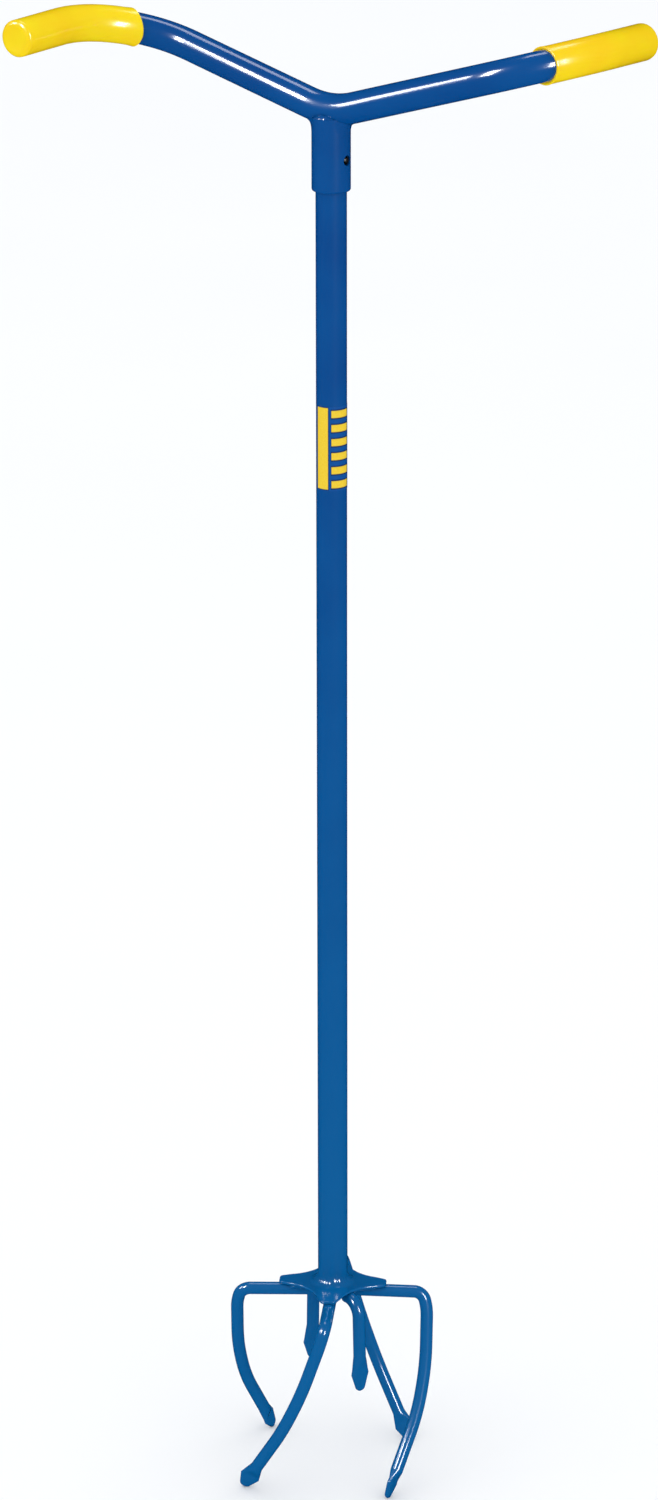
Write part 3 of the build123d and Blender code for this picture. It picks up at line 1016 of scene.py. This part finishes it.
SHAFT_WELD_REACH = 6.5 * MM
SHAFT_WELD_HEIGHT = 7.5 * MM
FOOT_SIDES, FOOT_STEPS = 120, 12
FOOT_RIPPLE, FOOT_RIPPLES, FOOT_SLANT = 0.16 * MM, 30, 4    # height, count, and lean in radians
FOOT_UNEVEN, FOOT_LOBES, FOOT_TURN = 0.25 * MM, 3, 40       # of the outer edge


def make_shaft_weld():
    """Broad fillet round the shaft's foot, with the faint ripple of the torch under the coat."""
    rings = []
    for step in range(FOOT_STEPS + 1):
        t = step / FOOT_STEPS
        bow = pi / 2 * t
        radius = SHAFT_RADIUS + SHAFT_WELD_REACH * (1 - sin(bow)) + SKIN_GAP
        height = PLATE_HIGH + SHAFT_WELD_HEIGHT * (1 - cos(bow))
        ring = []
        for i in range(FOOT_SIDES):
            turn = 360 * i / FOOT_SIDES
            ripple = FOOT_RIPPLE * sin(radians(turn * FOOT_RIPPLES) + FOOT_SLANT * t) * sin(pi * t)
            uneven = FOOT_UNEVEN * sin(radians(turn * FOOT_LOBES + FOOT_TURN)) * (1 - t)
            ring.append(polar(radius + ripple + uneven, turn, height))
        rings.append(ring)
    mesh = rings_mesh("foot", rings)
    put("foot_fillet", mesh, coat, ["shaft_weld"], crease=60.0)


# ------------------------------------------------------------------ make the pieces

make_handlebar()
make_grip("right")
make_grip("left")
make_socket_weld()
make_label()
make_button()
make_long_tines()
make_short_tines()
make_plate()
make_shaft_weld()

for name, material in (("handle_socket", coat), ("shaft_tube", coat), ("button_spring", leaf_steel)):
    nodes[name].material_slots[0].material = material

# ------------------------------------------------------------------ studio

CAMERA_DISTANCE = 3.345
CAMERA_ABOVE_VEE = 0.692
CAMERA_PITCH = radians(18.45)
CAMERA_PAN = radians(0.0341)
CAMERA_ROLL = radians(-0.097)
FOCAL_PER_HEIGHT = 5375 / 1500
SENSOR_HEIGHT = 36.0
FLOOR_HALF = 30.0
LIGHT_TARGET = 0.96         # height that every soft box faces
# Azimuth and elevation in degrees, distance, width and height in metres, and power in watts
SOFT_BOXES = {
    "left_window": (-141.0, 31.0, 2.6, 0.55, 1.0, 75.0),
    "side_window": (-171.0, 19.0, 2.6, 0.5, 0.9, 30.0),
    "front_window": (-60.0, 12.0, 2.6, 0.7, 1.2, 70.0),
    "overhead": (84.0, 70.0, 3.2, 1.4, 1.0, 16.0),
}


def make_camera():
    """Telephoto view from in front and a little above."""
    data = bpy.data.cameras.new("camera")
    data.sensor_fit = "VERTICAL"
    data.sensor_height = SENSOR_HEIGHT
    data.lens = SENSOR_HEIGHT * FOCAL_PER_HEIGHT
    data.clip_end = 100.0
    camera = bpy.data.objects.new("camera", data)
    camera.location = (0, -CAMERA_DISTANCE, VEE.z + CAMERA_ABOVE_VEE)
    pan = Matrix.Rotation(CAMERA_PAN, 3, "Z")
    pitch = Matrix.Rotation(pi / 2 - CAMERA_PITCH, 3, "X")
    roll = Matrix.Rotation(CAMERA_ROLL, 3, "Z")
    camera.rotation_euler = (pan @ pitch @ roll).to_euler()
    bpy.context.collection.objects.link(camera)
    bpy.context.scene.camera = camera


def softbox(name, azimuth, elevation, distance, width, height, power):
    """Area light that adds a highlight only, at a direction from a point on the shaft's axis."""
    data = bpy.data.lights.new(name, "AREA")
    data.shape = "RECTANGLE"
    data.size = width
    data.size_y = height
    data.energy = power
    light = bpy.data.objects.new(name, data)
    away = heading(azimuth, elevation)
    light.location = Vector((0, 0, LIGHT_TARGET)) + away * distance
    light.rotation_euler = away.to_track_quat("Z", "Y").to_euler()
    light.visible_diffuse = False
    bpy.context.collection.objects.link(light)


def make_studio():
    """White floor and surround, which light the colours, and soft boxes, which make the highlights."""
    mesh = bpy.data.meshes.new("floor")
    half = FLOOR_HALF
    corners = [(-half, -half, 0), (half, -half, 0), (half, half, 0), (-half, half, 0)]
    mesh.from_pydata(corners, [], [(0, 1, 2, 3)])
    mesh.materials.append(studio_floor())
    floor = bpy.data.objects.new("floor", mesh)
    bpy.context.collection.objects.link(floor)
    floor.visible_glossy = False
    world = bpy.data.worlds.new("studio")
    bpy.context.scene.world = world
    world.use_nodes = True
    background = world.node_tree.nodes["Background"]
    background.inputs["Color"].default_value = linear("#fafcff")
    background.inputs["Strength"].default_value = 1.15
    world.cycles_visibility.glossy = False
    for name, settings in SOFT_BOXES.items():
        softbox(name, *settings)
    bpy.context.scene.view_settings.view_transform = "Standard"


make_camera()
make_studio()
